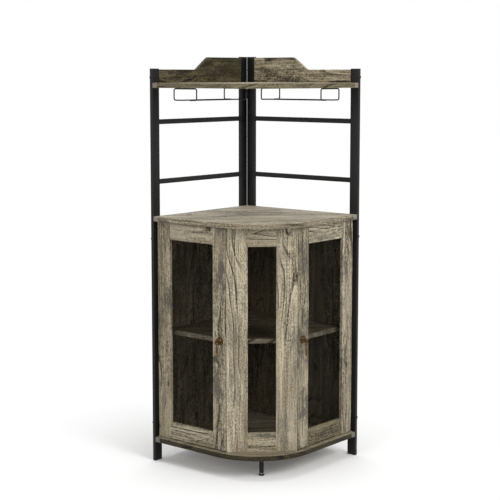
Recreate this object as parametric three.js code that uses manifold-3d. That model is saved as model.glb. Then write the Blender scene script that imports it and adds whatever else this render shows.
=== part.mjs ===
// Corner bar cabinet: two black steel side frames that meet in the room corner, four
// boards between them, a glazed lower cabinet with a fixed centre panel and two hinged
// doors, and two wire stemware racks under the top shelf.
// Millimetres, +Z up. The front faces -Y and the room corner lies at +Y. The origin is
// on the floor, in the middle of the cabinet's box, and the cabinet is symmetric in X.

import * as THREE from 'three';
import { mergeVertices } from 'three/addons/utils/BufferGeometryUtils.js';
import Module from 'manifold-3d';

const wasm = await Module();
wasm.setup();

// Fits
const seatGap = 0.3;           // left between two pieces that rest on each other
const cutOverrun = 1;          // how far a cutting tool runs past the face it cuts

// Side frames. Lengths along a wall start at the line where the inner faces meet.
const wallAngle = Math.PI / 4; // each wall turns this far from the cabinet's Y axis
const wallReach = 445;         // corner line to the front end of the front post
const postWidth = 30;
const postThickness = 11;
const tubeWall = 1.2;
const cornerGap = 0.4;         // corner line to the nearer face of a back post
const postRise = 2.7;          // post tops over the gallery boards
const boltHeadRadius = 4.5;    // bolts through the end faces of the front posts
const boltHeadHeight = 3;
const boltHeadEasing = 0.8;
const boltSides = 24;
const galleryBoltDrop = 23.4;  // gallery's low top edge to its bolt
const counterBoltDrop = 54;    // counter's underside to the bolt below it
const floorBoltRise = 46;      // bottom board's top to the bolt above it
const footHeight = 4;
const footPlugLength = 12;
const footPlugGap = 0.3;
const railHeight = 15;
const railDepth = 10;
const lowerRailShare = 0.269;  // middle of the rail, as a share of the bay over the counter
const upperRailShare = 0.736;

// Boards
const boardThickness = 15;
const bottomBoardLevel = 61;   // floor to the underside
const cupboardHeight = 676;    // bottom board to counter
const bayHeight = 390;         // counter to top shelf
const noseRadius = 192;        // the rounded front corner of the boards
const noseSteps = 24;

// Gallery boards round the top shelf
const galleryLowRise = 40.4;   // over the top shelf, in front
const galleryStep = 38.8;      // further rise at the corner
const gallerySlopeFoot = 245;  // along the wall, from the corner line
const gallerySlopeRun = 55;
const galleryFillet = 12;
const filletSteps = 5;

// Lower cabinet
const panelThickness = 15;     // side panels
const doorThickness = 15;
const doorSetback = 15;        // front post's end to the door's face
const doorEdgeGap = 2.5;       // door to post
const doorHeightGap = 3;       // door to the boards above and below
const panelToDoorGap = 2;
const stileWidth = 51;
const doorRailHeight = 51;
const centreWidth = 214.2;     // centre panel, between the corners of its mitres
const centreStileWidth = 63.8;
const centreRailHeight = 57.5;
const mitreGap = 1.3;         // between a door and the centre panel
const glassThickness = 4;
const glassLap = 8;            // how far the glass reaches behind the frame
const glassFit = 0.5;
const rebateDepth = 5;

// Middle shelf and its pins
const shelfSetback = 15;       // doors' inner faces to the shelf's front edge
const pinDiameter = 5;
const pinReach = 7;            // out of the side panel
const pinDepth = 9;            // into the side panel
const pinFit = 0.3;
const pinHeadDiameter = 8;
const pinHeadChamfer = 1;
const pinFrontInset = 60;      // shelf's front edge to the front pins
const pinBackInset = 75;       // corner line to the back pins
const pinSides = 16;

// Offset pivot hinges at the top and bottom of each door
const hingePinInset = 4.5;     // post's inner face to the pin's axis
const hingePinDiameter = 4;
const hingePinFit = 0.3;
const hingeKnuckleRadius = 4;
const hingeLeafLength = 42;
const hingeLeafWidth = 12;
const hingeLeafInset = 1.5;    // door's face to the leaf's front edge
const hingeSides = 24;

// Magnetic catches under the counter
const catchLength = 36;
const catchDepth = 15;
const catchHeight = 13;
const catchChamfer = 4;
const catchInset = 10;         // from the door's free edge

// Drop pulls
const pullRise = 333;          // over the door's lower edge
const pullInset = 23;          // from the door's free edge
const rosetteRadius = 12;
const rosetteEdge = 1.4;
const rosetteRise = 3.6;
const beadRadius = 1.1;
const studRadius = 2.3;
const studReach = 14;          // door's face to the pivot's axis
const studEndRadius = 3.2;
const pivotRadius = 1.1;
const pivotFit = 0.35;
const cheekThickness = 1.7;
const cheekRadius = 3.2;
const cheekFit = 0.35;
const pendantLength = 48;      // pivot's axis to the tip
const pendantNeckRadius = 1.7;
const pendantCollarRadius = 2.7;
const pendantCollarDrop = 12;  // pivot's axis to the middle of the collar
const pendantCollarHeight = 3;
const pendantBodyRadius = 3.5;
const pendantBodyRise = 17;    // tip to the widest place
const pendantWaistRadius = 1.6;
const pendantFinialRadius = 2.7;
const pendantFinialHeight = 10;
const finialSteps = 5;
const pendantYokeDrop = 6.5;   // pivot's axis to the bridge under the stud
const pullSides = 24;

// Stemware racks, each one closed wire
const wireDiameter = 4;
const wireBend = 6;
const wireBendSteps = 3;
const wireSides = 8;
const rackFrontInset = 27;     // front post's end to the rack's front
const rackBackGap = 32.5;      // clear of the other wall's rack
const rackWidth = 91;
const rackSlot = 29;           // between the two lower runs, centre to centre
const rackMiddle = 110;        // wall to the middle of the rack
const rackDrop = 34;           // upper run to lower run

// Front leg
const legInset = 60;           // board's nose to the leg's axis
const legDiameter = 14;
const legPlateSize = 38;
const legPlateCorner = 6;
const legPlateThickness = 2;
const glideDiameter = 17.5;
const glideHeight = 5;
const glideChamfer = 1.2;
const glideStem = 6;
const glideStemLength = 30;
const glideTravel = 3.6;       // glide's top to the leg
const glideFit = 0.3;
const glideSpare = 4;          // left over the stem when the glide is screwed in
const legSides = 24;

// Places worked out from the sizes above
const root2 = Math.SQRT2;
const doorFace = wallReach - doorSetback;
const doorBack = doorFace - doorThickness;
const centreReach = doorFace * root2 - centreWidth / 2;
const noseReach = (wallReach - noseRadius) * root2 + noseRadius;
const backReach = (postThickness - cornerGap) / root2;
const cornerY = (noseReach - backReach) / 2;
const bottomTop = bottomBoardLevel + boardThickness;
const counterLevel = bottomTop + cupboardHeight;
const topShelfLevel = counterLevel + boardThickness + bayHeight;
const galleryLowTop = topShelfLevel + boardThickness + galleryLowRise;
const galleryHighTop = galleryLowTop + galleryStep;
const middleShelfTop = (bottomTop + counterLevel) / 2;
const middleShelfLevel = middleShelfTop - boardThickness;
const doorBottom = bottomTop + doorHeightGap;
const doorTop = counterLevel - doorHeightGap;
const panelInner = seatGap + panelThickness;
const rackTop = topShelfLevel - seatGap - wireDiameter / 2;

// Materials
function finish(color, roughness, metalness, opacity = 1) {
  return new THREE.MeshStandardMaterial({
    color,
    roughness,
    metalness,
    opacity,
    transparent: opacity < 1,
  });
}
const blackSteel = () => finish(0x1f1e1e, 0.6, 0.4);
const agedOak = () => finish(0x8c8068, 0.7, 0);
const agedOakDark = () => finish(0x6e6350, 0.75, 0);
const clearGlass = () => finish(0xdfe9e6, 0.05, 0, 0.3);
const agedBrass = () => finish(0x6b5127, 0.45, 0.9);
const zincSteel = () => finish(0xa8a8a4, 0.35, 0.9);
const blackPlastic = () => finish(0x181818, 0.7, 0);

// Turns a three.js geometry into a solid that can be cut or joined.
function solid(geometry) {
  const bare = geometry.clone();
  bare.deleteAttribute('normal');
  bare.deleteAttribute('uv');
  const merged = mergeVertices(bare, 1e-4);
  const vertProperties = new Float32Array(merged.attributes.position.array);
  const triVerts = new Uint32Array(merged.index.array);
  return new wasm.Manifold(new wasm.Mesh({ numProp: 3, vertProperties, triVerts }));
}

// Turns a solid back into a geometry for a mesh.
function surface(body) {
  const mesh = body.getMesh();
  const geometry = new THREE.BufferGeometry();
  geometry.setAttribute('position', new THREE.BufferAttribute(mesh.vertProperties, 3));
  geometry.setIndex(new THREE.BufferAttribute(mesh.triVerts, 1));
  geometry.computeVertexNormals();
  return geometry;
}

function named(name, geometry, material) {
  const mesh = new THREE.Mesh(geometry, material);
  mesh.name = name;
  return mesh;
}

// A box between two corners.
function block([x0, x1], [y0, y1], [z0, z1]) {
  const geometry = new THREE.BoxGeometry(Math.abs(x1 - x0), Math.abs(y1 - y0), Math.abs(z1 - z0));
  geometry.translate((x0 + x1) / 2, (y0 + y1) / 2, (z0 + z1) / 2);
  return geometry;
}

// A plan outline raised between two heights.
function raised(points, bottom, top) {
  const shape = new THREE.Shape(points.map(([x, y]) => new THREE.Vector2(x, y)));
  const geometry = new THREE.ExtrudeGeometry(shape, { depth: top - bottom, bevelEnabled: false });
  geometry.translate(0, 0, bottom);
  return geometry;
}

// An upright cylinder between two heights.
function upright(radius, x, y, bottom, top, sides) {
  const geometry = new THREE.CylinderGeometry(radius, radius, top - bottom, sides);
  geometry.rotateX(Math.PI / 2);
  geometry.translate(x, y, (bottom + top) / 2);
  return geometry;
}

// The cabinet, with the room corner as its own origin while it is built.
const cabinet = new THREE.Group();
cabinet.position.y = cornerY;

// One group for each wall, turned so that its own -Y runs along the wall to the front
// and its X runs square to the wall. hand is 1 on the left, where +X points inwards,
// and -1 on the right.
function wallGroup(hand) {
  const group = new THREE.Group();
  group.rotation.z = -hand * wallAngle;
  cabinet.add(group);
  return group;
}

// A box in wall terms: across from the wall inwards, along from the corner line.
function wallBlock(hand, across, along, height) {
  return block(across.map((a) => hand * a), along.map((s) => -s), height);
}

// A point of a plan outline, given by its distances along the left and right walls.
function plan(alongLeft, alongRight) {
  return [(alongRight - alongLeft) / root2, -(alongRight + alongLeft) / root2];
}

// Head of a bolt that faces along a wall, away from the corner. Its foot is sunk in the
// wall of the post.
function boltHead() {
  const rim = boltHeadRadius - boltHeadEasing;
  const shoulder = boltHeadHeight - boltHeadEasing;
  const head = turned([
    [0, -tubeWall / 2],
    [boltHeadRadius, -tubeWall / 2],
    [boltHeadRadius, shoulder],
    [rim, boltHeadHeight],
    [0, boltHeadHeight],
  ], boltSides);
  head.rotateX(Math.PI);
  return head;
}

// Side frames: rectangular steel tubes. The front posts carry the heads of their bolts.
function addPost(group, hand, name, along, top, boltLevels = []) {
  const across = [-postThickness, 0];
  const middle = -postThickness / 2;
  const outer = wallBlock(hand, across, along, [footHeight + seatGap, top]);
  const bore = wallBlock(
    hand,
    [across[0] + tubeWall, across[1] - tubeWall],
    [along[0] + tubeWall, along[1] - tubeWall],
    [footHeight - cutOverrun, top - tubeWall],
  );
  let tube = solid(outer).subtract(solid(bore));
  for (const level of boltLevels) {
    const head = boltHead();
    head.translate(hand * middle, -along[1], level);
    tube = tube.add(solid(head));
  }
  group.add(named(name, surface(tube), blackSteel()));

  const flange = wallBlock(hand, across, along, [0, footHeight]);
  const inset = tubeWall + footPlugGap;
  const plug = wallBlock(
    hand,
    [across[0] + inset, across[1] - inset],
    [along[0] + inset, along[1] - inset],
    [footHeight / 2, footHeight + footPlugLength],
  );
  group.add(named(`${name}_foot`, surface(solid(flange).add(solid(plug))), blackPlastic()));
}

function addRail(group, hand, name, level) {
  const along = [cornerGap + postWidth + seatGap, wallReach - postWidth - seatGap];
  const middle = -postThickness / 2;
  const across = [middle - railDepth / 2, middle + railDepth / 2];
  const height = [level - railHeight / 2, level + railHeight / 2];
  const outer = wallBlock(hand, across, along, height);
  const bore = wallBlock(
    hand,
    [across[0] + tubeWall, across[1] - tubeWall],
    [along[0] - cutOverrun, along[1] + cutOverrun],
    [height[0] + tubeWall, height[1] - tubeWall],
  );
  group.add(named(name, surface(solid(outer).subtract(solid(bore))), blackSteel()));
}

function addFrame(group, hand, side) {
  const front = [wallReach - postWidth, wallReach];
  const back = [cornerGap, cornerGap + postWidth];
  const boltLevels = [
    galleryLowTop - galleryBoltDrop,
    counterLevel - counterBoltDrop,
    bottomTop + floorBoltRise,
  ];
  addPost(group, hand, `${side}_front_post`, front, galleryLowTop + postRise, boltLevels);
  addPost(group, hand, `${side}_back_post`, back, galleryHighTop + postRise);
  const bayFloor = counterLevel + boardThickness;
  addRail(group, hand, `${side}_upper_rail`, bayFloor + upperRailShare * bayHeight);
  addRail(group, hand, `${side}_lower_rail`, bayFloor + lowerRailShare * bayHeight);
  addRail(group, hand, `${side}_bottom_rail`, bottomBoardLevel + boardThickness / 2);
}

// Gallery: a board set between the posts, low in front and high at the corner, with a
// sloping step that is rounded at its foot and at its top.
function filletArc(centre, from, to) {
  const points = [];
  for (let i = 0; i <= filletSteps; i += 1) {
    const turn = from + ((to - from) * i) / filletSteps;
    points.push([centre[0] + galleryFillet * Math.cos(turn), centre[1] + galleryFillet * Math.sin(turn)]);
  }
  return points;
}

function addGallery(group, hand, side) {
  const start = cornerGap + postWidth + seatGap;
  const end = wallReach - postWidth - seatGap;
  const slope = Math.atan2(galleryHighTop - galleryLowTop, gallerySlopeRun);
  const tangent = galleryFillet * Math.tan(slope / 2);
  const foot = [gallerySlopeFoot + tangent, galleryLowTop + galleryFillet];
  const brow = [gallerySlopeFoot - gallerySlopeRun - tangent, galleryHighTop - galleryFillet];
  const quarter = Math.PI / 2;
  const profile = [
    [start, topShelfLevel],
    [end, topShelfLevel],
    [end, galleryLowTop],
    ...filletArc(foot, -quarter, -quarter - slope),
    ...filletArc(brow, quarter - slope, quarter),
    [start, galleryHighTop],
  ];
  const shape = new THREE.Shape(profile.map(([s, z]) => new THREE.Vector2(s, z)));
  const geometry = new THREE.ExtrudeGeometry(shape, { depth: postThickness, bevelEnabled: false });
  geometry.rotateX(Math.PI / 2);
  geometry.rotateZ(-Math.PI / 2);
  geometry.translate(hand > 0 ? 0 : postThickness, 0, 0);
  group.add(named(`${side}_gallery`, geometry, agedOakDark()));
}

// Side panel inside the frame, with blind holes for the shelf pins
function pinPlaces() {
  return [pinBackInset, doorBack - shelfSetback - pinFrontInset];
}

function addSidePanel(group, hand, side) {
  const backEnd = hand > 0 ? panelInner + seatGap : seatGap;
  const board = wallBlock(
    hand,
    [seatGap, panelInner],
    [backEnd, doorBack - panelToDoorGap],
    [bottomTop + seatGap, counterLevel - seatGap],
  );
  let panel = solid(board);
  const level = middleShelfLevel - seatGap - pinHeadDiameter / 2;
  for (const along of pinPlaces()) {
    const depth = pinDepth + pinFit;
    const hole = new THREE.CylinderGeometry(
      pinDiameter / 2 + pinFit,
      pinDiameter / 2 + pinFit,
      depth + cutOverrun,
      pinSides,
    );
    hole.rotateZ(Math.PI / 2);
    hole.translate(hand * (panelInner - (depth - cutOverrun) / 2), -along, level);
    panel = panel.subtract(solid(hole));
  }
  group.add(named(`${side}_side_panel`, surface(panel), agedOakDark()));
}

// Shelf pin: a stepped steel pin whose thick end stands against the panel's face and
// carries the shelf
function addPin(group, hand, name, along) {
  const head = pinHeadDiameter / 2;
  const shaft = pinDiameter / 2;
  const profile = [
    [0, -pinDepth],
    [shaft, -pinDepth],
    [shaft, seatGap],
    [head, seatGap],
    [head, pinReach - pinHeadChamfer],
    [head - pinHeadChamfer, pinReach],
    [0, pinReach],
  ];
  const geometry = new THREE.LatheGeometry(profile.map(([r, y]) => new THREE.Vector2(r, y)), pinSides);
  geometry.rotateZ((-hand * Math.PI) / 2);
  geometry.translate(hand * panelInner, -along, middleShelfLevel - seatGap - head);
  group.add(named(name, geometry, zincSteel()));
}

// Stemware rack: one closed wire. Its two lower runs leave a slot for the stems, and it
// rises at each end to an upper run that is fixed under the top shelf.
class BentLoop extends THREE.Curve {
  constructor(corners, bend, steps) {
    super();
    this.stations = [];
    corners.forEach((corner, i) => {
      const before = corners[(i + corners.length - 1) % corners.length];
      const after = corners[(i + 1) % corners.length];
      const into = corner.clone().sub(before).normalize();
      const out = after.clone().sub(corner).normalize();
      const centre = corner.clone().addScaledVector(into, -bend).addScaledVector(out, bend);
      for (let k = 0; k <= steps; k += 1) {
        const turn = (Math.PI / 2) * (k / steps);
        const point = centre.clone();
        point.addScaledVector(out, -bend * Math.cos(turn)).addScaledVector(into, bend * Math.sin(turn));
        const tangent = into.clone().multiplyScalar(Math.cos(turn)).addScaledVector(out, Math.sin(turn));
        this.stations.push({ point, tangent: tangent.normalize() });
      }
    });
  }

  station(u) {
    return this.stations[Math.round(u * this.stations.length) % this.stations.length];
  }

  getPointAt(u) {
    return this.station(u).point.clone();
  }

  getTangentAt(u) {
    return this.station(u).tangent.clone();
  }
}

function addRack(group, hand, side) {
  const front = wallReach - rackFrontInset;
  const back = rackMiddle + rackWidth / 2 + rackBackGap;
  const bottom = rackTop - rackDrop;
  const wide = rackWidth / 2;
  const narrow = rackSlot / 2;
  const corners = [
    [-wide, front, rackTop],
    [wide, front, rackTop],
    [wide, front, bottom],
    [narrow, front, bottom],
    [narrow, back, bottom],
    [wide, back, bottom],
    [wide, back, rackTop],
    [-wide, back, rackTop],
    [-wide, back, bottom],
    [-narrow, back, bottom],
    [-narrow, front, bottom],
    [-wide, front, bottom],
  ].map(([a, s, z]) => new THREE.Vector3(hand * (rackMiddle + a), -s, z));
  const loop = new BentLoop(corners, wireBend, wireBendSteps);
  const geometry = new THREE.TubeGeometry(loop, loop.stations.length, wireDiameter / 2, wireSides, true);
  group.add(named(`${side}_glass_rack`, geometry, blackSteel()));
}

// Doors. A door's group stands on its hinge axis, which is the axis it turns about.
// Inside it, across runs from the axis to the free edge and depth from the face back.
const hingeAxis = hingePinInset;
const doorStart = doorEdgeGap - hingeAxis;
const mitreHalf = mitreGap / 2 / Math.cos(wallAngle / 2);
const doorEndFront = centreReach * root2 - doorFace - mitreHalf - hingeAxis;
const doorEndBack = (centreReach - doorThickness) * root2 - doorBack - mitreHalf - hingeAxis;
const windowStart = doorStart + stileWidth;
const windowEnd = doorEndFront - stileWidth;
const windowBottom = doorBottom + doorRailHeight;
const windowTop = doorTop - doorRailHeight;

// The glass and its rebate, for a window given by its sides and height, in a frame
// whose back face is at back.
function glassRebate(sides, height, back) {
  const across = [sides[0] - glassLap, sides[1] + glassLap];
  const depth = [back - rebateDepth, back + cutOverrun];
  return solid(block(across, depth, [height[0] - glassLap, height[1] + glassLap]));
}

function glassPane(sides, height, back) {
  const lap = glassLap - glassFit;
  const front = back - rebateDepth + seatGap;
  const across = [sides[0] - lap, sides[1] + lap];
  return block(across, [front, front + glassThickness], [height[0] - lap, height[1] + lap]);
}

function addDoor(group, hand, side) {
  const door = new THREE.Group();
  door.position.set(hand * hingeAxis, -doorFace, 0);
  group.add(door);

  const height = [windowBottom, windowTop];
  const window = [windowStart, windowEnd].map((a) => hand * a).sort((a, b) => a - b);
  const rebate = glassRebate(window, height, doorThickness);
  const outerStile = [
    [doorStart, 0],
    [windowStart, 0],
    [windowStart, doorThickness],
    [doorStart, doorThickness],
  ];
  const innerStile = [
    [windowEnd, 0],
    [doorEndFront, 0],
    [doorEndBack, doorThickness],
    [windowEnd, doorThickness],
  ];
  const handed = (points) => points.map(([a, d]) => [hand * a, d]);
  const railSides = [windowStart + seatGap, windowEnd - seatGap].map((a) => hand * a);
  const pieces = {
    outer_stile: raised(handed(outerStile), doorBottom, doorTop),
    inner_stile: raised(handed(innerStile), doorBottom, doorTop),
    top_rail: block(railSides, [0, doorThickness], [windowTop, doorTop]),
    bottom_rail: block(railSides, [0, doorThickness], [doorBottom, windowBottom]),
  };
  for (const [name, geometry] of Object.entries(pieces)) {
    door.add(named(`${side}_door_${name}`, surface(solid(geometry).subtract(rebate)), agedOak()));
  }

  const glass = glassPane(window, height, doorThickness);
  door.add(named(`${side}_door_glass`, glass, clearGlass()));

  addLeaves(door, hand, side);
  addPull(door, hand, side);
}

// Offset pivot hinge: two thin leaves, one over the other in the gap beside the door.
// The fixed leaf carries the pin, and the door's leaf turns on it.
const hingeLeafThickness = (doorHeightGap - 3 * seatGap) / 2;

function leafOutline(hand, bottom, top) {
  const knuckle = upright(hingeKnuckleRadius, 0, 0, bottom, top, hingeSides);
  const depth = [hingeLeafInset, hingeLeafInset + hingeLeafWidth];
  const bar = block([0, hand * hingeLeafLength], depth, [bottom, top]);
  return solid(knuckle).add(solid(bar));
}

function addLeaves(door, hand, side) {
  const fixed = new THREE.Group();
  fixed.position.copy(door.position);
  door.parent.add(fixed);
  const ends = {
    top: { board: counterLevel, away: -1 },
    bottom: { board: bottomTop, away: 1 },
  };
  for (const [end, { board, away }] of Object.entries(ends)) {
    const levels = [
      seatGap,
      seatGap + hingeLeafThickness,
      2 * seatGap + hingeLeafThickness,
      2 * (seatGap + hingeLeafThickness),
    ];
    const [a, b, c, d] = levels.map((level) => board + away * level);
    const fixedRange = [a, b].sort((p, q) => p - q);
    const movingRange = [c, d].sort((p, q) => p - q);
    const pinRange = [a, d].sort((p, q) => p - q);
    const pin = solid(upright(hingePinDiameter / 2, 0, 0, ...pinRange, hingeSides));
    const hole = solid(upright(
      hingePinDiameter / 2 + hingePinFit,
      0,
      0,
      movingRange[0] - cutOverrun,
      movingRange[1] + cutOverrun,
      hingeSides,
    ));
    const fixedLeaf = leafOutline(hand, ...fixedRange).add(pin);
    const movingLeaf = leafOutline(hand, ...movingRange).subtract(hole);
    fixed.add(named(`${side}_${end}_hinge_fixed_leaf`, surface(fixedLeaf), zincSteel()));
    door.add(named(`${side}_${end}_hinge_door_leaf`, surface(movingLeaf), zincSteel()));
  }
}

// Drop pull: a round rosette with a stud, and a pendant that swings from the stud's
// cross pin. All turned shapes, made about the vertical and then laid where they go.
function turned(profile, sides) {
  return new THREE.LatheGeometry(profile.map(([r, y]) => new THREE.Vector2(r, y)), sides);
}

function addPull(door, hand, side) {
  const middle = hand * (doorEndFront - pullInset);
  const bodyReach = studReach - seatGap;
  const rosette = [
    [0, 0],
    [rosetteRadius, 0],
    [rosetteRadius, rosetteEdge],
    [rosetteRadius - beadRadius, rosetteEdge + beadRadius],
    [rosetteRadius - 2 * beadRadius, rosetteEdge],
    [(rosetteRadius + studEndRadius) / 2, (rosetteEdge + rosetteRise) / 2],
    [studEndRadius, rosetteRise],
    [studRadius, rosetteRise + studRadius],
    [studRadius, bodyReach - studEndRadius],
    [studEndRadius * Math.cos(Math.PI / 6), bodyReach - studEndRadius / 2],
    [studEndRadius, bodyReach],
    [studEndRadius * Math.cos(Math.PI / 6), bodyReach + studEndRadius / 2],
    [0, bodyReach + studEndRadius],
  ];
  const crossLength = studEndRadius + cheekFit + cheekThickness + pivotRadius;
  const cross = new THREE.CylinderGeometry(pivotRadius, pivotRadius, 2 * crossLength, pullSides);
  cross.rotateZ(Math.PI / 2);
  const knob = turned(rosette, pullSides);
  knob.rotateX(Math.PI);
  knob.translate(0, -seatGap, 0);
  cross.translate(0, -studReach, 0);
  const stud = surface(solid(knob).add(solid(cross)));
  stud.translate(middle, 0, doorBottom + pullRise);
  door.add(named(`${side}_pull_rosette`, stud, agedBrass()));

  const hanger = new THREE.Group();
  hanger.position.set(middle, -studReach, doorBottom + pullRise);
  door.add(hanger);
  hanger.add(named(`${side}_pull_pendant`, pendantShape(), agedBrass()));
}

// The pendant hangs from its own origin, which is the pivot's axis.
function pendantShape() {
  const tip = -pendantLength;
  const waist = tip + pendantFinialHeight;
  const widest = tip + pendantBodyRise;
  const collar = -pendantCollarDrop;
  const drop = [[0, tip]];
  for (let i = 1; i < finialSteps; i += 1) {
    const turn = (Math.PI * i) / finialSteps;
    const rise = (pendantFinialHeight * (1 - Math.cos(turn))) / 2;
    drop.push([Math.max(pendantFinialRadius * Math.sin(turn), pendantNeckRadius), tip + rise]);
  }
  drop.push([pendantWaistRadius, waist]);
  drop.push([pendantBodyRadius * Math.cos(Math.PI / 6), (waist + widest) / 2]);
  drop.push([pendantBodyRadius, widest]);
  drop.push([(pendantBodyRadius + pendantNeckRadius) / 2, (widest + collar) / 2]);
  drop.push([pendantNeckRadius, collar - pendantCollarHeight / 2]);
  drop.push([pendantCollarRadius, collar]);
  drop.push([pendantNeckRadius, collar + pendantCollarHeight / 2]);
  drop.push([pendantNeckRadius, -pendantYokeDrop]);
  drop.push([0, -pendantYokeDrop]);
  const body = turned(drop, pullSides);
  body.rotateX(Math.PI / 2);
  const inner = studEndRadius + cheekFit;
  const outer = inner + cheekThickness;
  const bridgeHeight = [-pendantYokeDrop - cheekThickness, -pendantYokeDrop];
  const bridge = block([-outer, outer], [-cheekRadius, cheekRadius], bridgeHeight);
  let shape = solid(body).add(solid(bridge));
  for (const way of [-1, 1]) {
    const ear = new THREE.CylinderGeometry(cheekRadius, cheekRadius, cheekThickness, pullSides);
    ear.rotateZ(Math.PI / 2);
    ear.translate((way * (inner + outer)) / 2, 0, 0);
    const arm = block([way * inner, way * outer], [-cheekRadius, cheekRadius], [-pendantYokeDrop, 0]);
    shape = shape.add(solid(ear)).add(solid(arm));
  }
  const radius = pivotRadius + pivotFit;
  const hole = new THREE.CylinderGeometry(radius, radius, 2 * (outer + cutOverrun), pullSides);
  hole.rotateZ(Math.PI / 2);
  return surface(shape.subtract(solid(hole)));
}

// Magnetic catch under the counter, behind the door's free edge
function addCatch(group, hand, side) {
  const farEnd = doorEndBack + hingeAxis - catchInset;
  const across = [farEnd - catchLength, farEnd];
  const front = doorBack - seatGap;
  const top = counterLevel - seatGap;
  const profile = [
    [front, top],
    [front - catchDepth, top],
    [front - catchDepth, top - catchHeight + catchChamfer],
    [front - catchDepth + catchChamfer, top - catchHeight],
    [front, top - catchHeight],
  ];
  const shape = new THREE.Shape(profile.map(([s, z]) => new THREE.Vector2(-s, z)));
  const geometry = new THREE.ExtrudeGeometry(shape, { depth: catchLength, bevelEnabled: false });
  geometry.rotateX(Math.PI / 2);
  geometry.rotateZ(Math.PI / 2);
  geometry.translate(Math.min(hand * across[0], hand * across[1]), 0, 0);
  group.add(named(`${side}_magnetic_catch`, geometry, blackPlastic()));
}

// Both sides of the cabinet
for (const [side, hand] of [['left', 1], ['right', -1]]) {
  const group = wallGroup(hand);
  addFrame(group, hand, side);
  addGallery(group, hand, side);
  addSidePanel(group, hand, side);
  pinPlaces().forEach((along, i) => {
    addPin(group, hand, `${side}_shelf_pin_${i === 0 ? 'back' : 'front'}`, along);
  });
  addRack(group, hand, side);
  addDoor(group, hand, side);
  addCatch(group, hand, side);
}

// Boards with a rounded front corner
function boardOutline() {
  const points = [plan(seatGap, seatGap), plan(wallReach, seatGap)];
  const centre = wallReach - noseRadius;
  for (let i = 0; i <= noseSteps; i += 1) {
    const turn = ((Math.PI / 2) * i) / noseSteps;
    points.push(plan(centre + noseRadius * Math.cos(turn), centre + noseRadius * Math.sin(turn)));
  }
  points.push(plan(seatGap, wallReach));
  return points;
}

function addBoard(name, level, material) {
  cabinet.add(named(name, raised(boardOutline(), level, level + boardThickness), material));
}

addBoard('bottom_board', bottomBoardLevel, agedOak());
addBoard('counter_top', counterLevel, agedOak());
addBoard('top_shelf', topShelfLevel, agedOak());

// Middle shelf: its front edge follows the doors and the centre panel
const shelfInner = panelInner + seatGap;
const shelfSide = doorBack - shelfSetback;
const shelfCentre = (centreReach - doorThickness - shelfSetback) * root2;
const shelfOutline = [
  plan(shelfInner, shelfInner),
  plan(shelfSide, shelfInner),
  plan(shelfSide, shelfCentre - shelfSide),
  plan(shelfCentre - shelfSide, shelfSide),
  plan(shelfInner, shelfSide),
];
cabinet.add(named('middle_shelf', raised(shelfOutline, middleShelfLevel, middleShelfTop), agedOak()));

// Fixed centre panel: two mitred stiles, two rails and a pane of glass
const centreFace = -centreReach;
const centreBack = centreFace + doorThickness;
const mitreFront = centreWidth / 2 - mitreHalf;
const mitreBack = doorBack * root2 - (centreReach - doorThickness) - mitreHalf;
const halfWindow = centreWidth / 2 - centreStileWidth - mitreHalf;
const centreBottom = bottomTop + seatGap;
const centreTop = counterLevel - seatGap;
const centreWindow = [centreBottom + centreRailHeight, centreTop - centreRailHeight];
const centreSides = [-halfWindow, halfWindow];
const centreRebate = glassRebate(centreSides, centreWindow, centreBack);
for (const [side, way] of [['left', -1], ['right', 1]]) {
  const outline = [
    [way * halfWindow, centreFace],
    [way * mitreFront, centreFace],
    [way * mitreBack, centreBack],
    [way * halfWindow, centreBack],
  ];
  const stile = solid(raised(outline, centreBottom, centreTop)).subtract(centreRebate);
  cabinet.add(named(`centre_${side}_stile`, surface(stile), agedOak()));
}
const centreRailSides = [seatGap - halfWindow, halfWindow - seatGap];
const centreRails = {
  top: [centreWindow[1], centreTop],
  bottom: [centreBottom, centreWindow[0]],
};
for (const [end, height] of Object.entries(centreRails)) {
  const rail = solid(block(centreRailSides, [centreFace, centreBack], height)).subtract(centreRebate);
  cabinet.add(named(`centre_${end}_rail`, surface(rail), agedOak()));
}
const centreGlass = glassPane(centreSides, centreWindow, centreBack);
cabinet.add(named('centre_glass', centreGlass, clearGlass()));

// Front leg: a tube on a plate under the bottom board, with a levelling glide in it
const legY = -(noseReach - legInset);
const plateTop = bottomBoardLevel - seatGap;
const plateBottom = plateTop - legPlateThickness;
const plateShape = new THREE.Shape();
const plateHalf = legPlateSize / 2;
const plateArm = plateHalf - legPlateCorner;
for (let i = 0; i < 4; i += 1) {
  const from = (i * Math.PI) / 2;
  const cx = plateArm * (i === 0 || i === 3 ? 1 : -1);
  const cy = plateArm * (i < 2 ? 1 : -1);
  plateShape.absarc(cx, cy, legPlateCorner, from, from + Math.PI / 2, false);
}
const plate = new THREE.ExtrudeGeometry(plateShape, {
  depth: legPlateThickness,
  bevelEnabled: false,
  curveSegments: filletSteps,
});
plate.translate(0, legY, plateBottom);
const legBottom = glideHeight + glideTravel;
const legMiddle = plateTop - legPlateThickness / 2;
const boreTop = legBottom + glideStemLength + glideSpare;
const legTube = upright(legDiameter / 2, 0, legY, legBottom, legMiddle, legSides);
const legHole = upright(glideStem / 2 + glideFit, 0, legY, legBottom - cutOverrun, boreTop, legSides);
const leg = solid(plate).add(solid(legTube)).subtract(solid(legHole));
cabinet.add(named('front_leg', surface(leg), blackSteel()));

const glideProfile = [
  [0, 0],
  [glideDiameter / 2 - glideChamfer, 0],
  [glideDiameter / 2, glideChamfer],
  [glideDiameter / 2, glideHeight - glideChamfer],
  [glideDiameter / 2 - glideChamfer, glideHeight],
  [glideStem / 2, glideHeight],
  [glideStem / 2, glideHeight + glideStemLength],
  [0, glideHeight + glideStemLength],
];
const glide = turned(glideProfile, legSides);
glide.rotateX(Math.PI / 2);
glide.translate(0, legY, 0);
cabinet.add(named('levelling_glide', glide, blackPlastic()));

export default cabinet;
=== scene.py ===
import math

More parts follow.
